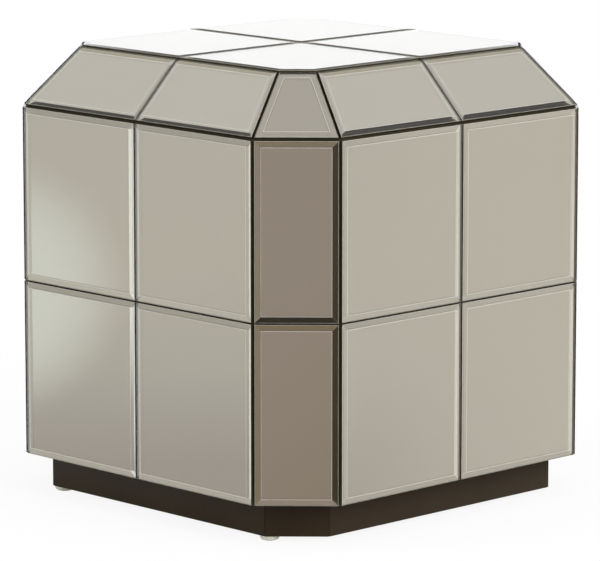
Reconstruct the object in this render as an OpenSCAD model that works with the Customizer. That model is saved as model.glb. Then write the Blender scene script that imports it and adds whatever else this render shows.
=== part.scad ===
// Faceted side table: bevelled mirror tiles on a board carcass, over a recessed plinth.
// The plan is a square with cut corners. Upright sides carry two rows of tiles, a sloping
// shoulder leans in above them, and four tiles make the flat top.
// Origin: centre of the footprint, on the floor. +Z is up and the front faces -Y.

/* [Overall] */
// Width and depth across the mirrored sides
table_w = 508; // [420:1:640]
// Width of each cut corner
corner_face_w = 95; // [70:1:120]
// Height of one row of side mirrors
row_h = 199.5; // [150:0.5:260]
// Height that the sloping shoulder rises
shoulder_rise = 65; // [45:1:90]
// Distance that the shoulder leans in
shoulder_inset = 65; // [45:1:90]

/* [Mirror tiles] */
// Thickness of the silvered glass
glass_t = 4; // [4:0.5:6]
// Width of the ground bevel round each tile
bevel_w = 7; // [4:0.5:12]
// Depth of the bevel at the tile's edge
bevel_drop = 0.7; // [0.4:0.1:2]
// Gap between neighbouring tiles
seam = 2; // [0.6:0.1:3]
// Thickness of the mounting tape behind the glass
tape_t = 1; // [0.5:0.1:2]
// Width of the mounting tape
tape_w = 19; // [12:1:25]
// Distance from a tape's end to the tile's edge line
tape_margin = 16; // [10:1:25]

/* [Carcass] */
// Thickness of the carcass boards
board_t = 15; // [12:0.5:18]
// Glue gap in every board joint
joint_gap = 0.1; // [0.05:0.05:0.3]
// Width of each face of an upright batten
batten_w = 25; // [18:1:35]
// Depth of an upright batten
batten_depth = 18; // [12:1:25]
// Space left above each batten, under the shoulder boards
batten_clear = 20; // [5:1:40]

/* [Plinth] */
// Height of the plinth boards
plinth_h = 40; // [30:1:60]
// Distance that the plinth is set back from the mirrors
plinth_inset = 30; // [24:1:40]
// Thickness of the plinth boards
plinth_t = 9; // [9:0.5:12]
// Length of side board that a plinth corner block backs
block_w = 35; // [28:1:45]
// Depth of a plinth corner block behind a side board
block_depth = 22; // [18:1:30]
// Diameter of the screws that hold the plinth on
screw_d = 4; // [3:0.5:5]
// Diameter of the screws' countersunk heads
screw_head_d = 8; // [7:0.5:10]
// Depth that each screw enters the bottom board
screw_bite = 11; // [8:0.5:11]
// Distance of each screw from its block's outer corner
screw_inset = 20; // [16:0.5:22]

/* [Glides] */
// Diameter of a nail-on glide
glide_d = 22; // [18:1:24]
// Height of a glide
glide_h = 6; // [4:0.5:9]
// Diameter of the flat that stands on the floor
glide_flat_d = 12; // [8:1:16]
// Height of the glide's straight rim
glide_rim_h = 1.5; // [0.8:0.1:2.5]
// Distance of a glide's centre from the plinth's outer faces
glide_inset = 13; // [12:0.5:15]
// Diameter of the nail moulded into a glide
nail_d = 1.8; // [1.4:0.1:2.2]
// Length of nail that stands out of a glide
nail_out = 15; // [10:1:20]
// Depth of nail held inside a glide
nail_held = 3; // [2:0.5:3.5]

/* [Hidden] */
$fn = 48;
rows = 2;
columns = 2;
skin = glass_t + tape_t;
// Radial clearance round a screw or a nail in its pilot hole
pilot_clear = 0.05;
// Radial clearance of a screw in the block that it passes through
through_clear = 0.2;
// How far cutting shapes run past the solid that they cut
cut_over = 20;
// Free depth past the end of a screw or nail
hole_end = 0.5;

// Distances from the centre line to the glass of a wide side and of a cut corner
side_reach = table_w / 2;
corner_reach = sqrt(2) * side_reach - corner_face_w / 2;
// Half length of a face of the eight-sided plan, from its own and its neighbour's reach
function half_length(own, other) = sqrt(2) * other - own;
side_half = half_length(side_reach, corner_reach);
corner_half = half_length(corner_reach, side_reach);
// The same for the rim of the top
rim_reach = side_reach - shoulder_inset;
rim_corner_reach = corner_reach - shoulder_inset;
rim_half = half_length(rim_reach, rim_corner_reach);
rim_corner_half = half_length(rim_corner_reach, rim_reach);
// The same for the plinth
plinth_reach = side_reach - plinth_inset;
plinth_corner_reach = corner_reach - plinth_inset;

// Heights
body_z = glide_h + plinth_h;
body_h = rows * row_h;
shoulder_z = body_z + body_h;
table_h = shoulder_z + shoulder_rise;
slant = norm([shoulder_rise, shoulder_inset]);
lean = atan2(shoulder_inset, shoulder_rise);

// Angles through which the surface turns at each kind of edge
turn_corner = 45;
turn_low = lean;
turn_rim = 90 - lean;
turn_hip = acos((pow(shoulder_rise, 2) * cos(turn_corner) + pow(shoulder_inset, 2)) / pow(slant, 2));

// Plan angles of the wide sides and of the cut corners, each seen from outside
SIDES = ["front", "right", "back", "left"];
CORNERS = ["front_right", "back_right", "back_left", "front_left"];
ROWS = ["lower", "upper"];
COLUMNS = ["left", "right"];
function side_angle(s) = 90 * s - 90;
function corner_angle(c) = 90 * c - 45;

function side_name(s, r, c) = str(SIDES[s], "_", ROWS[r], "_", COLUMNS[c], "_mirror");
function corner_name(k, r) = str(CORNERS[k], "_corner_", ROWS[r], "_mirror");
function shoulder_name(s, c) = str(SIDES[s], "_shoulder_", COLUMNS[c], "_mirror");
function shoulder_corner_name(k) = str(CORNERS[k], "_shoulder_corner_mirror");
function top_name(k) = str("top_", CORNERS[k], "_mirror");
function side_board_name(s) = str(SIDES[s], "_board");
function plinth_board_name(s) = str("plinth_", SIDES[s], "_board");

// ---- Outlines: lists of corner points, anticlockwise, with one value per edge ----

// Unit vector along edge i, which runs from point i to the next one
function edge_run(pts, i) =
    let (v = pts[(i + 1) % len(pts)] - pts[i]) v / norm(v);

// A point of edge i after it has moved inwards by d
function moved_point(pts, i, d) =
    let (u = edge_run(pts, i)) pts[i] + d * [-u.y, u.x];

// The outline with each edge moved inwards by its own distance
function inset_outline(pts, d) =
    [for (i = [0 : len(pts) - 1])
        let (
            j = (i + len(pts) - 1) % len(pts),
            a = moved_point(pts, j, d[j]), u = edge_run(pts, j),
            b = moved_point(pts, i, d[i]), v = edge_run(pts, i)
        )
        a + u * cross(b - a, v) / cross(u, v)];

// Square-edged glass stops short of a turned edge, so that its back edges clear each other
function glass_outline(pts, turns) =
    inset_outline(pts, [for (t = turns) glass_t * tan(t / 2) + seam / 2 / cos(t / 2)]);

// Boards lie a skin's depth behind the mirror faces
function board_outline(pts, turns) =
    inset_outline(pts, [for (t = turns) skin * tan(t / 2) + joint_gap / 2 / cos(t / 2)]);

function rectangle(x0, x1, y0, y1) = [[x0, y0], [x1, y0], [x1, y1], [x0, y1]];
function octagon(own, other) =
    let (h = half_length(own, other))
    [for (q = [0 : 3], y = [-h, h])
        let (c = cos(90 * q), s = sin(90 * q))
        [own * c - y * s, own * s + y * c]];

// ---- Places: local x runs along the face, y up it and z out of it ----

module on_side(angle, reach, z) {
    rotate([0, 0, angle]) translate([reach, 0, z]) rotate([90, 0, 90]) children();
}

module on_shoulder(angle, reach) {
    on_side(angle, reach, shoulder_z) rotate([-lean, 0, 0]) children();
}

module on_top(k) {
    translate([0, 0, table_h]) rotate([0, 0, corner_angle(k) - 45]) children();
}

// Puts local x along edge i of an outline, with the inside at +y
module along_edge(pts, i) {
    u = edge_run(pts, i);
    translate(pts[i]) rotate([0, 0, atan2(u.y, u.x)]) children();
}

function edge_length(pts, i) = norm(pts[(i + 1) % len(pts)] - pts[i]);

// ---- Stock: glass and boards with their outer face at z = 0 ----

// Silvered glass with a flat bevel ground round its front, as three rings of corner points:
// round the back, along the foot of the bevel and round the flat of the front
module bevelled_glass(pts) {
    n = len(pts);
    flat = inset_outline(pts, [for (p = pts) bevel_w]);
    rings = [[pts, -glass_t], [pts, -bevel_drop], [flat, 0]];
    back_face = [for (i = [0 : n - 1]) i];
    front_face = [for (i = [1 : n]) 3 * n - i];
    edge_faces = [for (k = [0, n], i = [0 : n - 1])
        let (j = (i + 1) % n)
        [k + i, k + n + i, k + n + j, k + j]];
    color("#b1ada1")
        polyhedron(
            points = [for (ring = rings, p = ring[0]) [p.x, p.y, ring[1]]],
            faces = concat([back_face], edge_faces, [front_face])
        );
}

// Board whose edges are mitred by half the turn of the surface
module mitred_board(pts, turns, thick) {
    difference() {
        translate([0, 0, -thick]) linear_extrude(thick) polygon(pts);
        for (i = [0 : len(pts) - 1])
            if (turns[i] > 0)
                along_edge(pts, i)
                    rotate([turns[i] / 2, 0, 0])
                        translate([-cut_over, -cut_over, -2 * thick])
                            cube([edge_length(pts, i) + 2 * cut_over, cut_over, 3 * thick]);
    }
}

module carcass_board(pts, turns) {
    color("#2b251f")
        translate([0, 0, -skin])
            mitred_board(board_outline(pts, turns), turns, board_t);
}

// Five-sided block that fills an obtuse joint of the plan, inside boards whose inner
// faces lie at these reaches. w is its width along each face.
module joint_block(own, other, w, depth, high) {
    joint = [own, half_length(own, other)];
    along_own = [0, -1];
    along_other = [-1, 1] / sqrt(2);
    into_own = [-1, 0];
    into_other = [-1, -1] / sqrt(2);
    linear_extrude(high)
        polygon([
            joint,
            joint + w * along_other,
            joint + w * along_other + depth * into_other,
            joint + w * along_own + depth * into_own,
            joint + w * along_own
        ]);
}

// Six-sided block that backs a whole cut corner and w of the boards at each side of it
module corner_block(own, other, w, depth, high) {
    h = half_length(own, other);
    linear_extrude(high)
        polygon([
            [own, h - w],
            [own, h],
            [h, own],
            [h - w, own],
            [h - w, own - depth],
            [own - depth, h - w]
        ]);
}

// Both joints of each cut corner
module at_joints() {
    for (q = [0 : 3], flip = [0, 1])
        rotate([0, 0, 90 * q]) mirror([flip, -flip, 0]) children();
}

// A point on a joint's bisector, which lies d inside the two faces at these reaches
function on_bisector(own, other, d) = [own - d, half_length(own - d, other - d)];

// ---- Mirror tiles ----

module side_mirror(s, r, c) {
    pts = rectangle((c - 1) * side_half, c * side_half, r * row_h, (r + 1) * row_h);
    turns = [0, c == 1 ? turn_corner : 0, r == rows - 1 ? turn_low : 0, c == 0 ? turn_corner : 0];
    on_side(side_angle(s), side_reach, body_z) bevelled_glass(glass_outline(pts, turns));
}

module corner_mirror(k, r) {
    pts = rectangle(-corner_half, corner_half, r * row_h, (r + 1) * row_h);
    turns = [0, turn_corner, r == rows - 1 ? turn_low : 0, turn_corner];
    on_side(corner_angle(k), corner_reach, body_z) bevelled_glass(glass_outline(pts, turns));
}

module shoulder_mirror(s, c) {
    pts = [
        [(c - 1) * side_half, 0], [c * side_half, 0],
        [c * rim_half, slant], [(c - 1) * rim_half, slant]
    ];
    turns = [turn_low, c == 1 ? turn_hip : 0, turn_rim, c == 0 ? turn_hip : 0];
    on_shoulder(side_angle(s), side_reach) bevelled_glass(glass_outline(pts, turns));
}

function shoulder_corner_outline() =
    [[-corner_half, 0], [corner_half, 0], [rim_corner_half, slant], [-rim_corner_half, slant]];

module shoulder_corner_mirror(k) {
    turns = [turn_low, turn_hip, turn_rim, turn_hip];
    on_shoulder(corner_angle(k), corner_reach)
        bevelled_glass(glass_outline(shoulder_corner_outline(), turns));
}

module top_mirror(k) {
    pts = [[0, 0], [rim_reach, 0], [rim_reach, rim_half], [rim_half, rim_reach], [0, rim_reach]];
    turns = [0, turn_rim, turn_rim, turn_rim, 0];
    on_top(k) bevelled_glass(glass_outline(pts, turns));
}

// ---- Mounting tape behind the glass ----

module tape_strip(x, y0, y1) {
    translate([x - tape_w / 2, y0 + tape_margin, -skin])
        cube([tape_w, y1 - y0 - 2 * tape_margin, tape_t]);
}

// Tape places across a face of this half length, two strips behind each tile
function tape_places(half) = [for (i = [-3 : 2 : 3]) i * half / 4];

module mounting_tape() {
    color("#d9d6cc") {
        for (s = [0 : 3]) {
            on_side(side_angle(s), side_reach, body_z)
                for (x = tape_places(side_half), r = [0 : rows - 1])
                    tape_strip(x, r * row_h, (r + 1) * row_h);
            on_shoulder(side_angle(s), side_reach)
                for (x = tape_places(rim_half)) tape_strip(x, 0, slant);
        }
        for (k = [0 : 3]) {
            on_side(corner_angle(k), corner_reach, body_z)
                for (r = [0 : rows - 1]) tape_strip(0, r * row_h, (r + 1) * row_h);
            on_shoulder(corner_angle(k), corner_reach) tape_strip(0, 0, slant);
            on_top(k) for (x = [1, 3] * rim_reach / 4) tape_strip(x, 0, rim_reach);
        }
    }
}

// ---- Carcass ----

module upright_board(half) {
    carcass_board(rectangle(-half, half, 0, body_h), [0, turn_corner, turn_low, turn_corner]);
}

module side_board(s) {
    on_side(side_angle(s), side_reach, body_z) upright_board(side_half);
}

module corner_boards() {
    for (k = [0 : 3])
        on_side(corner_angle(k), corner_reach, body_z) upright_board(corner_half);
}

module shoulder_boards() {
    pts = [[-side_half, 0], [side_half, 0], [rim_half, slant], [-rim_half, slant]];
    for (s = [0 : 3])
        on_shoulder(side_angle(s), side_reach)
            carcass_board(pts, [turn_low, turn_hip, turn_rim, turn_hip]);
}

module shoulder_corner_boards() {
    for (k = [0 : 3])
        on_shoulder(corner_angle(k), corner_reach)
            carcass_board(shoulder_corner_outline(), [turn_low, turn_hip, turn_rim, turn_hip]);
}

module top_board() {
    translate([0, 0, table_h])
        carcass_board(octagon(rim_reach, rim_corner_reach), [for (i = [0 : 7]) turn_rim]);
}

// The bottom board is housed inside the upright boards, and holds the plinth's screws
module bottom_board() {
    depth = skin + board_t + joint_gap;
    color("#2b251f")
        difference() {
            translate([0, 0, body_z])
                linear_extrude(board_t) polygon(octagon(side_reach - depth, corner_reach - depth));
            at_joints() at_screw()
                cylinder(r = screw_d / 2 + pilot_clear, h = body_z + screw_bite + hole_end);
        }
}

module corner_battens() {
    depth = skin + board_t + joint_gap;
    foot_z = body_z + board_t + joint_gap;
    head_z = shoulder_z - depth * tan(turn_low / 2) - batten_clear;
    color("#c8a878")
        at_joints()
            translate([0, 0, foot_z])
                joint_block(
                    side_reach - depth, corner_reach - depth,
                    batten_w, batten_depth, head_z - foot_z
                );
}

// ---- Plinth ----

module plinth_board(own, other, angle) {
    h = half_length(own, other);
    turns = [0, turn_corner, 0, turn_corner];
    gaps = [for (t = turns) t > 0 ? joint_gap / 2 / cos(t / 2) : 0];
    color("#3b3029")
        on_side(angle, own, glide_h)
            mitred_board(inset_outline(rectangle(-h, h, 0, plinth_h), gaps), turns, plinth_t);
}

module plinth_side_board(s) {
    plinth_board(plinth_reach, plinth_corner_reach, side_angle(s));
}

module plinth_corner_boards() {
    for (k = [0 : 3]) plinth_board(plinth_corner_reach, plinth_reach, corner_angle(k));
}

// Inner faces of the plinth boards, less the glue gap
block_reach = plinth_reach - plinth_t - joint_gap;
block_corner_reach = plinth_corner_reach - plinth_t - joint_gap;

// Screws pass up through the blocks into the bottom board
module at_screw() {
    translate(on_bisector(block_reach, block_corner_reach, screw_inset * cos(turn_corner / 2))) children();
}

module at_nail() {
    translate(on_bisector(plinth_reach, plinth_corner_reach, glide_inset)) children();
}

// Glides stand under the ends of the front and back plinth boards
module at_glides() {
    for (x = [0, 1], y = [0, 1])
        mirror([x, 0, 0]) mirror([0, y, 0]) mirror([1, -1, 0]) at_nail() children();
}

// A countersunk screw's outline, grown by a clearance, with its head at z = 0
module screw_shape(long, clear) {
    head_h = (screw_head_d - screw_d) / 2;
    cylinder(d1 = screw_head_d + 2 * clear, d2 = screw_d + 2 * clear, h = head_h);
    cylinder(d = screw_d + 2 * clear, h = long);
}

module plinth_blocks() {
    color("#c8a878")
        difference() {
            for (q = [0 : 3])
                translate([0, 0, glide_h])
                    rotate([0, 0, 90 * q])
                        corner_block(block_reach, block_corner_reach, block_w, block_depth, plinth_h);
            at_joints() at_screw()
                translate([0, 0, glide_h]) screw_shape(plinth_h + cut_over, through_clear);
            at_glides()
                cylinder(r = nail_d / 2 + pilot_clear, h = glide_h + nail_out + hole_end);
        }
}

module plinth_screws() {
    color("#9a9a98")
        at_joints() at_screw() translate([0, 0, glide_h]) screw_shape(plinth_h + screw_bite, 0);
}

// ---- Glides ----

// Domed plastic button: flat foot, a quarter-round flank and a straight rim
module glide() {
    flank = (glide_d - glide_flat_d) / 2;
    dome_h = glide_h - glide_rim_h;
    steps = 10;
    difference() {
        rotate_extrude()
            polygon(concat(
                [[0, 0]],
                [for (i = [0 : steps])
                    let (a = 90 * i / steps)
                    [glide_flat_d / 2 + flank * sin(a), dome_h * (1 - cos(a))]],
                [[glide_d / 2, glide_h], [0, glide_h]]
            ));
        translate([0, 0, glide_h - nail_held])
            cylinder(r = nail_d / 2 + pilot_clear, h = glide_h);
    }
}

module glides() {
    color("#d8d6cf") at_glides() glide();
}

module glide_nails() {
    color("#9a9a98")
        at_glides()
            translate([0, 0, glide_h - nail_held]) cylinder(d = nail_d, h = nail_held + nail_out);
}

// ---- Assembly ----

for (s = [0 : 3], r = [0 : rows - 1], c = [0 : columns - 1])
    side_mirror(s, r, c);
for (k = [0 : 3], r = [0 : rows - 1])
    corner_mirror(k, r);
for (s = [0 : 3], c = [0 : columns - 1])
    shoulder_mirror(s, c);
for (k = [0 : 3])
    shoulder_corner_mirror(k);
for (k = [0 : 3])
    top_mirror(k);
for (s = [0 : 3])
    side_board(s);
for (s = [0 : 3])
    plinth_side_board(s);
corner_boards();
shoulder_boards();
shoulder_corner_boards();
top_board();
bottom_board();
corner_battens();
mounting_tape();
plinth_corner_boards();
plinth_blocks();
plinth_screws();
glides();
glide_nails();
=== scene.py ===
import math

import bmesh
import bpy
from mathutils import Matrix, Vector


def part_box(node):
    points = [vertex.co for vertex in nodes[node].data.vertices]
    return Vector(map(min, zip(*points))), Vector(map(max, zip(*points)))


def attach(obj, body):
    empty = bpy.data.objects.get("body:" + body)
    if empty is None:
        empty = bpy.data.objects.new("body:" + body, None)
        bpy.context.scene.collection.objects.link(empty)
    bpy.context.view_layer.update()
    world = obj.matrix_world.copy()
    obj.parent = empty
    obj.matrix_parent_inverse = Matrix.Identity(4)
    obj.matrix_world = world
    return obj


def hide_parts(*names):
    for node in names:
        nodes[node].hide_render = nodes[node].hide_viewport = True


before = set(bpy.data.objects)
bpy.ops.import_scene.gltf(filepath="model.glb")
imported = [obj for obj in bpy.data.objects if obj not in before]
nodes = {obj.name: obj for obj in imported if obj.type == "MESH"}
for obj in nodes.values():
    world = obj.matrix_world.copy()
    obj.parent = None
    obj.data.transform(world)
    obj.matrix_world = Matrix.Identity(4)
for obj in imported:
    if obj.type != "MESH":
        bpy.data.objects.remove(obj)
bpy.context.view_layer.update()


# ---- Plinth boards ----
# Four long boards and four short ones of 9 mm fibreboard, mitred into a ring under the table and set
# back from the mirrors. Their sharp edges are sanded off, and they are sprayed satin espresso brown.

SIDES = ("front", "right", "back", "left")
PLINTH_BOARDS = [f"plinth_{side}_board" for side in SIDES] + ["plinth_corner_boards"]
SANDED_EDGE = 0.0009
SANDED_STEPS = 3
SANDED_ANGLE = math.radians(20)
WELD_DISTANCE = 1e-6
FLAT_ANGLE = math.radians(0.2)
ESPRESSO_BROWN = (0.0258, 0.0172, 0.0092, 1)


def flat_faced(node_name):
    """The CAD piece with its loose triangles merged into flat faces."""
    made = bmesh.new()
    made.from_mesh(nodes[node_name].data)
    bmesh.ops.remove_doubles(made, verts=made.verts, dist=WELD_DISTANCE)
    bmesh.ops.dissolve_limit(made, angle_limit=FLAT_ANGLE, verts=made.verts, edges=made.edges)
    return made


def new_piece(name, mesh):
    """A piece at the origin, whose place is in its mesh."""
    piece = bpy.data.objects.new(name, mesh)
    bpy.context.scene.collection.objects.link(piece)
    return piece


def new_finish(name):
    """An empty material: itself, its node tree, and the shader that every finish starts from."""
    finish = bpy.data.materials.new(name)
    finish.use_nodes = True
    return finish, finish.node_tree, finish.node_tree.nodes["Principled BSDF"]


def add(tree, kind, inputs=None, **settings):
    """A node with its settings and the values of its sockets."""
    made = tree.nodes.new(kind)
    for name, value in settings.items():
        setattr(made, name, value)
    for socket, value in (inputs or {}).items():
        made.inputs[socket].default_value = value
    return made


def noise_on(tree, scale, detail, stretch=(1, 1, 1)):
    """Noise in the piece's own place, with its grain drawn out where stretch is below 1."""
    place = add(tree, "ShaderNodeTexCoord")
    drawn_out = add(tree, "ShaderNodeMapping", {"Scale": stretch})
    noise = add(tree, "ShaderNodeTexNoise", {"Scale": scale, "Detail": detail})
    tree.links.new(place.outputs["Object"], drawn_out.inputs["Vector"])
    tree.links.new(drawn_out.outputs["Vector"], noise.inputs["Vector"])
    return noise.outputs["Fac"]


def ranged(tree, value, low, high, source_low=0.3, source_high=0.7):
    """The value spread between low and high. Noise hardly leaves 0.3 to 0.7."""
    made = add(tree, "ShaderNodeMapRange", {
        "From Min": source_low, "From Max": source_high, "To Min": low, "To Max": high})
    tree.links.new(value, made.inputs["Value"])
    return made.outputs["Result"]


def coloured(tree, shader, value, dark, light):
    """Colour that runs from dark to light with the value."""
    made = add(tree, "ShaderNodeMix", {"A": dark, "B": light}, data_type="RGBA")
    tree.links.new(value, made.inputs["Factor"])
    tree.links.new(made.outputs["Result"], shader.inputs["Base Color"])


def roughened(tree, shader, value, low, high):
    """Roughness that runs from low to high with the value."""
    tree.links.new(ranged(tree, value, low, high), shader.inputs["Roughness"])


def bumped(tree, shader, height, depth, strength):
    """Relief of this depth in metres on the shader's normal."""
    bump = add(tree, "ShaderNodeBump", {"Strength": strength, "Distance": depth})
    tree.links.new(height, bump.inputs["Height"])
    tree.links.new(bump.outputs["Normal"], shader.inputs["Normal"])


def toned(colour, share):
    """The colour made lighter or darker by a share."""
    return tuple(share * channel for channel in colour[:3]) + (1,)


espresso_paint, tree, shader = new_finish("espresso_paint")
coloured(tree, shader, ranged(tree, noise_on(tree, scale=9, detail=3), 0, 1),
         toned(ESPRESSO_BROWN, 0.90), toned(ESPRESSO_BROWN, 1.10))
roughened(tree, shader, noise_on(tree, scale=160, detail=4), 0.40, 0.50)
bumped(tree, shader, noise_on(tree, scale=1400, detail=1), depth=0.00003, strength=0.5)
shader.inputs["Specular IOR Level"].default_value = 0.10

for name in PLINTH_BOARDS:
    mesh = bpy.data.meshes.new("sprayed_" + name)
    boards = flat_faced(name)
    boards.to_mesh(mesh)
    boards.free()
    mesh.shade_smooth()
    mesh.materials.append(espresso_paint)
    piece = new_piece("sprayed_" + name, mesh)
    sanded = piece.modifiers.new("sanded edges", "BEVEL")
    sanded.width = SANDED_EDGE
    sanded.segments = SANDED_STEPS
    sanded.limit_method = "ANGLE"
    sanded.angle_limit = SANDED_ANGLE
    sanded.harden_normals = True
    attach(piece, "root")
    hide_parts(name)


# ---- Plinth corner blocks and upright battens ----
# Sawn and planed pine. A six-sided block backs each cut corner of the plinth, and a five-sided batten
# is glued up each joint of the upright boards.

PINE_PALE = (0.62, 0.43, 0.23, 1)
PINE_DARK = (0.46, 0.28, 0.125, 1)
GRAIN_DRAWN_OUT = (1, 1, 0.06)
SAW_MARKS_DRAWN_OUT = (1, 1, 0.05)


def coat(node_names, finish):
    """Gives this finish alone to CAD pieces whose shape stays as it is."""
    for name in node_names:
        nodes[name].data.materials.clear()
        nodes[name].data.materials.append(finish)


glue_block_pine, tree, shader = new_finish("glue_block_pine")
rings = add(tree, "ShaderNodeTexWave", {"Scale": 60, "Distortion": 5, "Detail": 2, "Detail Scale": 0.6},
            wave_type="BANDS", bands_direction="DIAGONAL")
place = add(tree, "ShaderNodeTexCoord")
drawn_out = add(tree, "ShaderNodeMapping", {"Scale": GRAIN_DRAWN_OUT})
tree.links.new(place.outputs["Object"], drawn_out.inputs["Vector"])
tree.links.new(drawn_out.outputs["Vector"], rings.inputs["Vector"])
coloured(tree, shader, rings.outputs["Fac"], PINE_PALE, PINE_DARK)
saw_marks = noise_on(tree, scale=700, detail=3, stretch=SAW_MARKS_DRAWN_OUT)
roughened(tree, shader, saw_marks, 0.55, 0.75)
bumped(tree, shader, saw_marks, depth=0.00015, strength=0.5)

coat(("plinth_blocks", "corner_battens"), glue_block_pine)


# ---- Plinth screws ----
# Zinc-plated countersunk chipboard screws with a cross recess. Two go up through each pine block
# into the bottom board. The threads are buried in wood, so a plain shank stands for them.

SCREW_HEAD_D = 0.008
SCREW_HEAD_RIM = 0.0003
SCREW_SHANK_D = 0.004
SCREW_POINT = 0.004
SCREW_TIP_R = 0.00048
SCREW_TIP = 0.0002
SCREW_STEPS = 24
RECESS_SPAN = 0.0046
RECESS_ARM = 0.0011
RECESS_DEPTH = 0.0016
RECESS_TAPER = 0.55
ZINC_DULL = (0.50, 0.48, 0.40, 1)
ZINC_BRIGHT = (0.62, 0.61, 0.56, 1)

plated_steel, tree, shader = new_finish("plated_steel")
shader.inputs["Metallic"].default_value = 1.0
coloured(tree, shader, ranged(tree, noise_on(tree, scale=500, detail=2), 0, 1), ZINC_DULL, ZINC_BRIGHT)
roughened(tree, shader, noise_on(tree, scale=1500, detail=2), 0.25, 0.40)
bumped(tree, shader, noise_on(tree, scale=3000, detail=1), depth=0.00002, strength=0.4)


def new_tree(name, inputs):
    """A Geometry Nodes tree with these named inputs: itself, its given values and its result."""
    tree = bpy.data.node_groups.new(name, "GeometryNodeTree")
    tree.interface.new_socket("Geometry", in_out="INPUT", socket_type="NodeSocketGeometry")
    for label, kind in inputs.items():
        tree.interface.new_socket(label, in_out="INPUT", socket_type=f"NodeSocket{kind}")
    tree.interface.new_socket("Geometry", in_out="OUTPUT", socket_type="NodeSocketGeometry")
    return tree, add(tree, "NodeGroupInput").outputs, add(tree, "NodeGroupOutput").inputs


def made_by(tree, piece, values):
    """Runs a tree on a piece, which keeps the plain mesh that the tree makes."""
    step = piece.modifiers.new(tree.name, "NODES")
    step.node_group = tree
    for item in tree.interface.items_tree:
        if item.in_out == "INPUT" and item.name in values:
            step[item.identifier] = values[item.name]
    bpy.context.view_layer.update()
    seen = piece.evaluated_get(bpy.context.evaluated_depsgraph_get())
    mesh = bpy.data.meshes.new_from_object(seen)
    piece.modifiers.remove(step)
    piece.data = mesh
    mesh.name = piece.name
    return piece


repeat_tree, given, result = new_tree("fitting at each place", {"Fitting": "Object", "Finish": "Material"})
fitting = add(repeat_tree, "GeometryNodeObjectInfo")
placed = add(repeat_tree, "GeometryNodeInstanceOnPoints")
real = add(repeat_tree, "GeometryNodeRealizeInstances")
finished = add(repeat_tree, "GeometryNodeSetMaterial")
for source, target in (
        (given["Fitting"], fitting.inputs["Object"]),
        (given["Geometry"], placed.inputs["Points"]),
        (fitting.outputs["Geometry"], placed.inputs["Instance"]),
        (placed.outputs["Instances"], real.inputs["Geometry"]),
        (real.outputs["Geometry"], finished.inputs["Geometry"]),
        (given["Finish"], finished.inputs["Material"]),
        (finished.outputs["Geometry"], result["Geometry"])):
    repeat_tree.links.new(source, target)


def solid_boxes(node_name):
    """Lowest and highest corner of each separate solid of a CAD piece, from left to right."""
    made = flat_faced(node_name)
    left = set(made.verts)
    boxes = []
    while left:
        solid, reached = set(), [left.pop()]
        while reached:
            vert = reached.pop()
            solid.add(vert)
            for edge in vert.link_edges:
                other = edge.other_vert(vert)
                if other in left:
                    left.discard(other)
                    reached.append(other)
        boxes.append((Vector([min(vert.co[k] for vert in solid) for k in range(3)]),
                      Vector([max(vert.co[k] for vert in solid) for k in range(3)])))
    made.free()
    return sorted(boxes, key=lambda box: (round(box[0].x, 4), round(box[0].y, 4)))


def fitted_at(name, boxes, pattern_mesh, finish):
    """One piece with a copy of the pattern standing on the middle of each box's floor."""
    pattern = new_piece(name + "_pattern", pattern_mesh)
    spots = bpy.data.meshes.new(name)
    spots.from_pydata([((low.x + high.x) / 2, (low.y + high.y) / 2, low.z) for low, high in boxes], [], [])
    piece = made_by(repeat_tree, new_piece(name, spots), {"Fitting": pattern, "Finish": finish})
    bpy.data.objects.remove(pattern)
    return piece


def turned_shape(name, profile, steps, finish):
    """A closed turned shape from (radius, height) pairs. The first and last pairs are points on the axis,
    and the faces round them are triangles."""
    made = bmesh.new()
    rings = []
    for radius, height in profile:
        angles = [math.tau * i / steps for i in range(steps)] if radius else [0]
        rings.append([made.verts.new((radius * math.cos(a), radius * math.sin(a), height)) for a in angles])
    for lower, upper in zip(rings, rings[1:]):
        for i in range(steps):
            j = (i + 1) % steps
            corners = [ring[k % len(ring)] for ring, k in ((lower, i), (lower, j), (upper, j), (upper, i))]
            made.faces.new(list(dict.fromkeys(corners)))
    bmesh.ops.recalc_face_normals(made, faces=made.faces)
    mesh = bpy.data.meshes.new(name)
    made.to_mesh(mesh)
    made.free()
    mesh.materials.append(finish)
    return mesh


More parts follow.
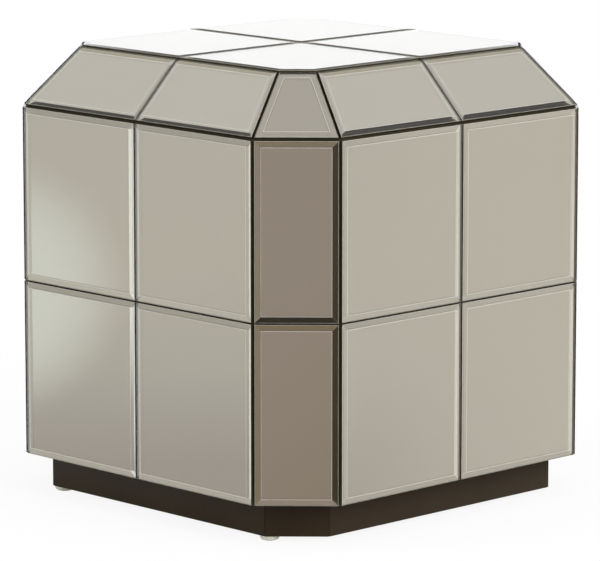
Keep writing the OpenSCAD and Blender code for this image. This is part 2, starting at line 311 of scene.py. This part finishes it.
def recessed_screw(length):
    """A screw that stands on its head, with a tapered cross recess let into the head."""
    head_depth = (SCREW_HEAD_D - SCREW_SHANK_D) / 2
    screw = turned_shape("screw", [
        (0, length), (SCREW_TIP_R, length - SCREW_TIP), (SCREW_SHANK_D / 2, length - SCREW_POINT),
        (SCREW_SHANK_D / 2, head_depth), (SCREW_HEAD_D / 2, SCREW_HEAD_RIM), (SCREW_HEAD_D / 2, 0), (0, 0)],
        SCREW_STEPS, plated_steel)
    made = bmesh.new()
    made.from_mesh(screw)
    flat = [vert for vert in made.verts if vert.co.z == 0]
    centre = min(flat, key=lambda vert: vert.co.xy.length)
    flat.remove(centre)
    bmesh.ops.delete(made, geom=[centre], context="VERTS")
    arm, span = RECESS_ARM / 2, RECESS_SPAN / 2
    end_of_arm, cross = [(arm, arm), (span, arm), (span, -arm)], []
    for quarter in range(4):
        cross += end_of_arm
        end_of_arm = [(y, -x) for x, y in end_of_arm]
    mouth = [made.verts.new((x, y, 0)) for x, y in cross]
    foot = [made.verts.new((x * RECESS_TAPER, y * RECESS_TAPER, RECESS_DEPTH)) for x, y in cross]
    mouth_edges = [made.edges.new(pair) for pair in zip(mouth, mouth[1:] + mouth[:1])]
    for i in range(len(cross)):
        j = (i + 1) % len(cross)
        made.faces.new((mouth[i], mouth[j], foot[j], foot[i]))
    made.faces.new(foot)
    rim_edges = [edge for edge in made.edges if edge.is_boundary and all(vert in flat for vert in edge.verts)]
    bmesh.ops.triangle_fill(made, use_beauty=True, edges=rim_edges + mouth_edges)
    bmesh.ops.recalc_face_normals(made, faces=made.faces)
    made.to_mesh(screw)
    made.free()
    return screw


screw_boxes = solid_boxes("plinth_screws")
screw_low, screw_high = screw_boxes[0]
screws = fitted_at("cross_recess_screws", screw_boxes,
                   recessed_screw(screw_high.z - screw_low.z), plated_steel)
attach(screws, "root")
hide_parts("plinth_screws")


# ---- Glides ----
# Milky white polyethylene buttons, moulded round the head of a steel nail and tapped into the plinth,
# two under the front board and two under the back one. Their domed flanks run into a flat foot.

GLIDE_FLAT_R = 0.006
GLIDE_RIM = 0.0015
GLIDE_EASED_EDGE = 0.0003
GLIDE_STEPS = 64
DOME_STEP_DEGREES = 6
GLIDE_SHARP_ANGLE = math.radians(40)
GLIDE_MILKY = (0.62, 0.60, 0.53, 1)

milky_plastic, tree, shader = new_finish("milky_plastic")
coloured(tree, shader, ranged(tree, noise_on(tree, scale=240, detail=2), 0, 1),
         toned(GLIDE_MILKY, 0.94), GLIDE_MILKY)
roughened(tree, shader, noise_on(tree, scale=900, detail=2), 0.32, 0.45)
bumped(tree, shader, noise_on(tree, scale=2600, detail=1), depth=0.00002, strength=0.5)
shader.inputs["Subsurface Weight"].default_value = 0.2
shader.inputs["Subsurface Radius"].default_value = (0.004, 0.0035, 0.003)
shader.inputs["Subsurface Scale"].default_value = 1.0


def domed_button(radius, height):
    """A glide that stands on its flat foot, with a quarter round flank under a low upright rim."""
    flank, rise = radius - GLIDE_FLAT_R, height - GLIDE_RIM
    turns = [math.radians(angle) for angle in range(0, 91, DOME_STEP_DEGREES)]
    dome = [(GLIDE_FLAT_R + flank * math.sin(turn), rise * (1 - math.cos(turn))) for turn in turns]
    eased_rim = [(radius, height - GLIDE_EASED_EDGE), (radius - GLIDE_EASED_EDGE, height)]
    button = turned_shape("glide", [(0, 0), (GLIDE_FLAT_R / 2, 0)] + dome + eased_rim + [(0, height)],
                          GLIDE_STEPS, milky_plastic)
    button.shade_smooth()
    button.set_sharp_from_angle(angle=GLIDE_SHARP_ANGLE)
    return button


glide_boxes = solid_boxes("glides")
glide_low, glide_high = glide_boxes[0]
button = domed_button((glide_high.x - glide_low.x) / 2, glide_high.z - glide_low.z)
glides = fitted_at("moulded_glides", glide_boxes, button, milky_plastic)
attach(glides, "root")
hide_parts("glides")

coat(["glide_nails"], plated_steel)


# ---- Carcass boards ----
# 15 mm fibreboard, mitred and glued into the faceted box and sprayed dark brown all over before the
# tiles go on, so that only dark paint shows in the seams. The bottom board is housed inside it.

CARCASS_BROWN = (0.036, 0.029, 0.016, 1)

carcass_paint, tree, shader = new_finish("carcass_paint")
coloured(tree, shader, ranged(tree, noise_on(tree, scale=14, detail=3), 0, 1),
         toned(CARCASS_BROWN, 0.8), toned(CARCASS_BROWN, 1.2))
roughened(tree, shader, noise_on(tree, scale=220, detail=3), 0.62, 0.78)
bumped(tree, shader, noise_on(tree, scale=900, detail=2), depth=0.00005, strength=0.6)
shader.inputs["Specular IOR Level"].default_value = 0.3

coat([f"{side}_board" for side in SIDES], carcass_paint)
coat(("corner_boards", "shoulder_boards", "shoulder_corner_boards", "top_board", "bottom_board"),
     carcass_paint)


# ---- Mounting tape ----
# Strips of 1 mm closed-cell foam tape, two behind each wide tile and one behind each narrow one. They
# hold the glass off the boards while the mirror adhesive cures.

FOAM_SHADED = (0.50, 0.48, 0.43, 1)
FOAM_PALE = (0.72, 0.70, 0.65, 1)

tape_foam, tree, shader = new_finish("tape_foam")
coloured(tree, shader, noise_on(tree, scale=1200, detail=3), FOAM_SHADED, FOAM_PALE)
roughened(tree, shader, noise_on(tree, scale=500, detail=2), 0.75, 0.9)
bumped(tree, shader, noise_on(tree, scale=1800, detail=2), depth=0.0001, strength=0.7)

coat(["mounting_tape"], tape_foam)


# ---- Mirror tiles ----
# Forty tiles of 4 mm float glass with a warm smoky silvering on the back, each cut to its place. The
# front has a shallow polished bevel between a fine satin arris and a fine satin crease. The crease's
# pale satin colour is a painted highlight that stands in for the glint of its polished rounding. The
# square edges are ground and left dark.

CORNERS = ("front_right", "back_right", "back_left", "front_left")
ROWS = ("lower", "upper")
COLUMNS = ("left", "right")
TILES = (
    [f"{side}_{row}_{column}_mirror" for side in SIDES for row in ROWS for column in COLUMNS]
    + [f"{corner}_corner_{row}_mirror" for corner in CORNERS for row in ROWS]
    + [f"{side}_shoulder_{column}_mirror" for side in SIDES for column in COLUMNS]
    + [f"{corner}_shoulder_corner_mirror" for corner in CORNERS]
    + [f"top_{corner}_mirror" for corner in CORNERS])

BACKING_PAINT = 0.00005
BEVEL_WIDTH = 0.007
BEVEL_SLOPE = 0.1
ARRIS = 0.00014
CREASE_WIDTH = 0.00025
GLASS_IOR = 1.52
PURE_WHITE = (1, 1, 1, 1)
SMOKE_SILVER = (0.420, 0.400, 0.340, 1)
GROUND_EDGE = (0.055, 0.047, 0.026, 1)
# Pale satin colour: the real ground finish on the arris, and a painted highlight on the crease
SATIN_AND_HIGHLIGHT_WHITE = (0.80, 0.79, 0.74, 1)

flat_low, flat_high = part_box("top_front_right_mirror")
glass_thickness = flat_high[2] - flat_low[2]
polished_width = BEVEL_WIDTH - ARRIS - CREASE_WIDTH
bevel_rise = BEVEL_SLOPE * polished_width
crease_rise = BEVEL_SLOPE / 2 * CREASE_WIDTH
edge_height = glass_thickness - BACKING_PAINT - ARRIS - bevel_rise - crease_rise

clear_glass, tree, shader = new_finish("clear_glass")
shader.inputs["Base Color"].default_value = PURE_WHITE
shader.inputs["Transmission Weight"].default_value = 1.0
shader.inputs["Roughness"].default_value = 0.0
shader.inputs["IOR"].default_value = GLASS_IOR

smoked_silver, tree, shader = new_finish("smoked_silver")
shader.inputs["Metallic"].default_value = 1.0
coloured(tree, shader, ranged(tree, noise_on(tree, scale=3, detail=2), 0, 1),
         toned(SMOKE_SILVER, 0.985), toned(SMOKE_SILVER, 1.015))
roughened(tree, shader, noise_on(tree, scale=40, detail=4), 0.002, 0.006)

ground_glass, tree, shader = new_finish("ground_glass")
coloured(tree, shader, noise_on(tree, scale=600, detail=3), toned(GROUND_EDGE, 0.7), toned(GROUND_EDGE, 1.3))
roughened(tree, shader, noise_on(tree, scale=1200, detail=2), 0.08, 0.16)
shader.inputs["Transmission Weight"].default_value = 0.3
shader.inputs["Specular IOR Level"].default_value = 0.1
shader.inputs["IOR"].default_value = GLASS_IOR

# Pale satin glass on the arris and the crease. On the arris it is the real ground finish. On the crease the
# pale colour is a painted highlight, standing in for the glint of the polished rounding.
satin_glass, tree, shader = new_finish("satin_glass")
coloured(tree, shader, noise_on(tree, scale=300, detail=3), toned(SATIN_AND_HIGHLIGHT_WHITE, 0.9), SATIN_AND_HIGHLIGHT_WHITE)
roughened(tree, shader, noise_on(tree, scale=900, detail=2), 0.15, 0.25)
shader.inputs["Transmission Weight"].default_value = 0.25
shader.inputs["IOR"].default_value = GLASS_IOR

tile_tree, given, result = new_tree("bevelled mirror tile", {
    "Edge height": "Float", "Arris": "Float", "Bevel width": "Float", "Bevel rise": "Float",
    "Crease width": "Float", "Crease rise": "Float",
    "Glass": "Material", "Edge": "Material", "Crease": "Material", "Silver": "Material"})


def tile_node(kind, inputs=None, **settings):
    """A Geometry Nodes node in the tile's tree."""
    return add(tile_tree, "GeometryNode" + kind, inputs, **settings)


def feed(socket, value):
    """Links a socket to another one, or sets it to a plain value."""
    if isinstance(value, bpy.types.NodeSocket):
        tile_tree.links.new(value, socket)
    else:
        socket.default_value = value


def tile_sum(operation, first, second):
    """A sum on two numbers in the tile's tree."""
    made = add(tile_tree, "ShaderNodeMath", operation=operation)
    feed(made.inputs[0], first)
    feed(made.inputs[1], second)
    return made.outputs["Value"]


def tile_vector(operation, first, second=None, scale=None):
    """A step on vectors in the tile's tree. A dot product gives a number, and the others a vector."""
    made = add(tile_tree, "ShaderNodeVectorMath", operation=operation)
    feed(made.inputs[0], first)
    if second is not None:
        feed(made.inputs[1], second)
    if scale is not None:
        feed(made.inputs["Scale"], scale)
    return made.outputs["Value" if operation == "DOT_PRODUCT" else "Vector"]


outward = tile_node("InputNormal").outputs["Normal"]
here = tile_node("InputPosition").outputs["Position"]
own_corner = tile_node("CornersOfVertex").outputs["Corner Index"]


def neighbour(step):
    """Position of the outline's point that lies this many steps away."""
    moved = tile_node("OffsetCornerInFace", {"Offset": step})
    point = tile_node("VertexOfCorner")
    there = tile_node("FieldAtIndex", data_type="FLOAT_VECTOR", domain="POINT")
    tile_tree.links.new(own_corner, moved.inputs["Corner Index"])
    tile_tree.links.new(moved.outputs["Corner Index"], point.inputs["Corner Index"])
    tile_tree.links.new(point.outputs["Vertex Index"], there.inputs["Index"])
    tile_tree.links.new(here, there.inputs["Value"])
    return there.outputs["Value"]


def inward(start, end):
    """Unit vector into the tile from the edge that runs between two points."""
    run = tile_vector("NORMALIZE", tile_vector("SUBTRACT", end, start))
    return tile_vector("CROSS_PRODUCT", outward, run)


# The miter of each corner moves it in by 1 from both of the edges that meet there
first, second = inward(neighbour(-1), here), inward(here, neighbour(1))
spread = tile_sum("ADD", tile_vector("DOT_PRODUCT", first, second), 1.0)
miter = tile_vector("SCALE", tile_vector("ADD", first, second), scale=tile_sum("DIVIDE", 1.0, spread))
kept = tile_node("CaptureAttribute", domain="POINT")
kept.capture_items.new("VECTOR", "Outward")
kept.capture_items.new("VECTOR", "Miter")
tile_tree.links.new(given["Geometry"], kept.inputs["Geometry"])
tile_tree.links.new(outward, kept.inputs["Outward"])
tile_tree.links.new(miter, kept.inputs["Miter"])


def raised(geometry, selection, lift, inset):
    """The face drawn out by lift and in by inset: its mesh, its new top and its new sides."""
    drawn = tile_node("ExtrudeMesh", {"Offset Scale": 0.0, "Individual": False}, mode="FACES")
    moved = tile_node("SetPosition")
    rise = tile_vector("SCALE", kept.outputs["Outward"], scale=lift)
    narrowing = tile_vector("SCALE", kept.outputs["Miter"], scale=inset)
    tile_tree.links.new(geometry, drawn.inputs["Mesh"])
    if selection is not None:
        tile_tree.links.new(selection, drawn.inputs["Selection"])
    tile_tree.links.new(drawn.outputs["Mesh"], moved.inputs["Geometry"])
    tile_tree.links.new(drawn.outputs["Top"], moved.inputs["Selection"])
    tile_tree.links.new(tile_vector("ADD", rise, narrowing), moved.inputs["Offset"])
    return moved.outputs["Geometry"], drawn.outputs["Top"], drawn.outputs["Side"]


body, top, square_side = raised(kept.outputs["Geometry"], None, given["Edge height"], 0.0)
body, top, arris_side = raised(body, top, given["Arris"], given["Arris"])
body, top, bevel_side = raised(body, top, given["Bevel rise"], given["Bevel width"])
body, top, crease_side = raised(body, top, given["Crease rise"], given["Crease width"])

back = tile_node("FlipFaces")
whole = tile_node("JoinGeometry")
sewn = tile_node("MergeByDistance", {"Distance": WELD_DISTANCE})
plain = tile_node("RealizeInstances")
tile_tree.links.new(kept.outputs["Geometry"], back.inputs["Mesh"])
tile_tree.links.new(body, whole.inputs["Geometry"])
tile_tree.links.new(back.outputs["Mesh"], whole.inputs["Geometry"])
tile_tree.links.new(whole.outputs["Geometry"], sewn.inputs["Geometry"])
tile_tree.links.new(sewn.outputs["Geometry"], plain.inputs["Geometry"])


def either(one, other):
    """True on the faces of either choice."""
    joined = add(tile_tree, "FunctionNodeBooleanMath", operation="OR")
    tile_tree.links.new(one, joined.inputs[0])
    tile_tree.links.new(other, joined.inputs[1])
    return joined.outputs["Boolean"]


geometry = plain.outputs["Geometry"]
for finish, selection in (("Silver", None), ("Glass", either(top, bevel_side)),
                          ("Edge", square_side), ("Crease", either(arris_side, crease_side))):
    step = tile_node("SetMaterial")
    tile_tree.links.new(geometry, step.inputs["Geometry"])
    tile_tree.links.new(given[finish], step.inputs["Material"])
    if selection is not None:
        tile_tree.links.new(selection, step.inputs["Selection"])
    geometry = step.outputs["Geometry"]
tile_tree.links.new(geometry, result["Geometry"])

for name in TILES:
    cad_tile = flat_faced(name)
    back_face = max(cad_tile.faces, key=lambda face: face.calc_area())
    paint = back_face.normal * BACKING_PAINT
    outline = [vert.co - paint for vert in reversed(back_face.verts)]
    cad_tile.free()
    mesh = bpy.data.meshes.new("glass_" + name)
    mesh.from_pydata(outline, [], [range(len(outline))])
    tile = made_by(tile_tree, new_piece("glass_" + name, mesh), {
        "Edge height": edge_height, "Arris": ARRIS,
        "Bevel width": polished_width, "Bevel rise": bevel_rise,
        "Crease width": CREASE_WIDTH, "Crease rise": crease_rise,
        "Glass": clear_glass, "Edge": ground_glass, "Crease": satin_glass, "Silver": smoked_silver})
    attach(tile, "root")
    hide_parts(name)


# ---- Studio floor ----
# A wide white paper sweep with a faint soft shadow under the table. It glows a little, so that it reads
# as white, and it doesn't show in the mirrors, which see only the room.

FLOOR_SIZE = 30.0
SHADOW_SHARE = 0.10
SHADOW_FULL_R = 0.35
SHADOW_GONE_R = 1.2
PAPER_WHITE = (0.85, 0.85, 0.84, 1)

sweep, tree, shader = new_finish("studio_sweep")
tree.nodes.remove(shader)
sweep_out = tree.nodes["Material Output"]
paper = add(tree, "ShaderNodeBsdfDiffuse", {"Color": PAPER_WHITE})
glow = add(tree, "ShaderNodeEmission", {"Color": PURE_WHITE, "Strength": 1.0})
from_table = add(tree, "ShaderNodeVectorMath", operation="LENGTH")
tree.links.new(add(tree, "ShaderNodeTexCoord").outputs["Object"], from_table.inputs[0])
shadow = ranged(tree, from_table.outputs["Value"], SHADOW_SHARE, 0.0, SHADOW_FULL_R, SHADOW_GONE_R)
rays = add(tree, "ShaderNodeLightPath").outputs
plain_paper = add(tree, "ShaderNodeMath", operation="MAXIMUM")
tree.links.new(rays["Is Diffuse Ray"], plain_paper.inputs[0])
tree.links.new(shadow, plain_paper.inputs[1])
seen = add(tree, "ShaderNodeMixShader")
tree.links.new(plain_paper.outputs["Value"], seen.inputs["Fac"])
tree.links.new(glow.outputs["Emission"], seen.inputs[1])
tree.links.new(paper.outputs["BSDF"], seen.inputs[2])
tree.links.new(seen.outputs["Shader"], sweep_out.inputs["Surface"])

half = FLOOR_SIZE / 2
mesh = bpy.data.meshes.new("studio_floor")
mesh.from_pydata([(-half, -half, 0), (half, -half, 0), (half, half, 0), (-half, half, 0)], [], [(0, 1, 2, 3)])
mesh.materials.append(sweep)
floor = new_piece("studio_floor", mesh)
floor.visible_glossy = False
floor.visible_transmission = False


# ---- Studio surroundings ----
# White to the eye. The mirrors see a pale room, dimmer low down, with a bright window behind, light
# cards at the left and right, warm wood before the cut corner, and dark gear above and beside that.

# Elevation in degrees, and the colour there
ROOM_BY_HEIGHT = (
    (-16.0, (0.74, 0.73, 0.69)), (-12.5, (0.74, 0.71, 0.71)), (-11.2, (0.92, 0.91, 0.89)),
    (-9.8, (1.00, 0.98, 0.94)), (-8.0, (1.00, 0.99, 0.96)), (-5.0, (0.92, 0.89, 0.87)),
    (-2.5, (1.07, 1.07, 1.04)), (6.0, (1.10, 1.10, 1.10)))
# Azimuth and elevation of the middle, radius that is full and radius where it is gone, all in degrees, colour
ROOM_PATCHES = (
    ("ceiling", 44, 85, 15, 40, (0.90, 0.88, 0.87)),
    ("window behind", 225.7, 5, 18, 34, (1.50, 1.52, 1.55)),
    ("dark beam at the left", -97.5, 42, 5.2, 7.4, (0.02, 0.015, 0.01)),
    ("dark beam at the back", 183, 46, 6.2, 8.2, (0.02, 0.015, 0.01)),
    ("light card at the left", -59.5, -6.5, 6.6, 7.6, (1.80, 1.88, 1.95)),
    ("soft light at the left", -49.9, -10.1, 0.3, 1.8, (1.34, 1.41, 1.42)),
    ("soft light at the right", 130.2, -11.3, 0.3, 5.0, (1.51, 1.51, 1.48)),
    ("light card at the right", 146.9, -10.9, 8.5, 14.0, (1.08, 1.06, 1.02)),
    ("warm wood before the corner", 46, -11, 11, 19, (0.63, 0.55, 0.52)),
    ("wood near the floor", 57.5, -29.3, 14.2, 23.8, (0.42, 0.34, 0.24)),
    ("dark gear beside the wood", 33, -8, 7.6, 9.6, (0.06, 0.045, 0.02)),
    ("dark gear above the wood", 42, 3, 8.0, 9.6, (0.02, 0.02, 0.015)),
    ("shade in the window", 226, 17.5, 4.4, 5.4, (0.34, 0.31, 0.26)),
    ("dimmer panel high at the left", -69, 37.3, 2.5, 5.5, (1.02, 1.00, 0.93)),
    ("dimmer panel high at the back", 158, 40.5, 3.0, 5.5, (1.02, 1.00, 0.93)))
SOFT_DAYLIGHT = (0.72, 0.72, 0.73, 1)

world = bpy.data.worlds.new("white_studio")
bpy.context.scene.world = world
world.use_nodes = True
room_tree = world.node_tree
backdrop = room_tree.nodes["Background"]
toward = add(room_tree, "ShaderNodeTexCoord").outputs["Generated"]


def sine(degrees):
    """Height of a unit vector at this elevation."""
    return math.sin(math.radians(degrees))


def heading(azimuth, elevation):
    """Unit vector at this azimuth, counted from the front towards the right, and this elevation."""
    a, e = math.radians(azimuth), math.radians(elevation)
    return (math.sin(a) * math.cos(e), -math.cos(a) * math.cos(e), math.sin(e))


def share_round(direction, inner, outer):
    """1 round a direction, falling smoothly to 0 between two angles from it."""
    along = add(room_tree, "ShaderNodeVectorMath", operation="DOT_PRODUCT")
    along.inputs[1].default_value = direction
    fade = add(room_tree, "ShaderNodeMapRange", {
        "From Min": math.cos(math.radians(outer)), "From Max": math.cos(math.radians(inner)),
        "To Min": 0.0, "To Max": 1.0}, interpolation_type="SMOOTHSTEP")
    room_tree.links.new(toward, along.inputs[0])
    room_tree.links.new(along.outputs["Value"], fade.inputs["Value"])
    return fade.outputs["Result"]


lowest, highest = sine(ROOM_BY_HEIGHT[0][0]), sine(ROOM_BY_HEIGHT[-1][0])
upright = add(room_tree, "ShaderNodeSeparateXYZ")
room_tree.links.new(toward, upright.inputs["Vector"])
by_height = add(room_tree, "ShaderNodeValToRGB")
height_share = ranged(room_tree, upright.outputs["Z"], 0, 1, lowest, highest)
room_tree.links.new(height_share, by_height.inputs["Fac"])
stops = by_height.color_ramp.elements
for elevation, colour in ROOM_BY_HEIGHT[1:-1]:
    stops.new((sine(elevation) - lowest) / (highest - lowest)).color = (*colour, 1)
stops[0].color = (*ROOM_BY_HEIGHT[0][1], 1)
stops[-1].color = (*ROOM_BY_HEIGHT[-1][1], 1)
surroundings = by_height.outputs["Color"]
for label, azimuth, elevation, inner, outer, colour in ROOM_PATCHES:
    patch = add(room_tree, "ShaderNodeMix", {"B": (*colour, 1)}, data_type="RGBA", label=label)
    room_tree.links.new(share_round(heading(azimuth, elevation), inner, outer), patch.inputs["Factor"])
    room_tree.links.new(surroundings, patch.inputs["A"])
    surroundings = patch.outputs["Result"]

rays = add(room_tree, "ShaderNodeLightPath").outputs
mirror_ray = add(room_tree, "ShaderNodeMath", operation="MAXIMUM")
room_tree.links.new(rays["Is Glossy Ray"], mirror_ray.inputs[0])
room_tree.links.new(rays["Is Transmission Ray"], mirror_ray.inputs[1])
eye_or_light = add(room_tree, "ShaderNodeMix", {"A": SOFT_DAYLIGHT, "B": PURE_WHITE}, data_type="RGBA")
room_tree.links.new(rays["Is Camera Ray"], eye_or_light.inputs["Factor"])
with_mirrors = add(room_tree, "ShaderNodeMix", data_type="RGBA")
room_tree.links.new(mirror_ray.outputs["Value"], with_mirrors.inputs["Factor"])
room_tree.links.new(eye_or_light.outputs["Result"], with_mirrors.inputs["A"])
room_tree.links.new(surroundings, with_mirrors.inputs["B"])
room_tree.links.new(with_mirrors.outputs["Result"], backdrop.inputs["Color"])
backdrop.inputs["Strength"].default_value = 1.0


# ---- Lamps ----
# Three square softboxes, overhead, at the left and at the right. They light the plinth, the floor and
# the seams, and don't show in the mirrors.

LAMP_AIM = Vector((0, 0, 0.3))


def softbox(name, place, size, watts):
    """A large square lamp that is turned to the table."""
    light = bpy.data.lights.new(name, "AREA")
    light.shape = "SQUARE"
    light.size = size
    light.energy = watts
    lamp = bpy.data.objects.new(name, light)
    lamp.location = place
    lamp.rotation_euler = (LAMP_AIM - Vector(place)).to_track_quat("-Z", "Y").to_euler()
    lamp.visible_camera = False
    lamp.visible_glossy = False
    lamp.visible_transmission = False
    bpy.context.scene.collection.objects.link(lamp)


softbox("overhead_softbox", (0.0, 0.0, 3.2), size=2.4, watts=20)
softbox("left_softbox", (-1.8, -2.6, 1.6), size=1.6, watts=34)
softbox("right_softbox", (2.8, 0.0, 1.6), size=1.6, watts=66)


# ---- Camera ----
# A long lens on a tripod a few metres off, a little above the table and turned to its cut corner. It
# is level from side to side.

CAMERA_PLACE = (3.503, -3.397, 1.103)
CAMERA_HEADING = (-0.7070, 0.6853, -0.1746)
SENSOR_WIDTH = 36
LENS_LENGTH = 261.7

eye = bpy.data.cameras.new("corner_view")
eye.sensor_width = SENSOR_WIDTH
eye.lens = LENS_LENGTH
camera = bpy.data.objects.new("corner_view", eye)
camera.location = CAMERA_PLACE
camera.rotation_euler = Vector(CAMERA_HEADING).to_track_quat("-Z", "Y").to_euler()
bpy.context.scene.collection.objects.link(camera)
bpy.context.scene.camera = camera
bpy.context.scene.view_settings.view_transform = "Standard"
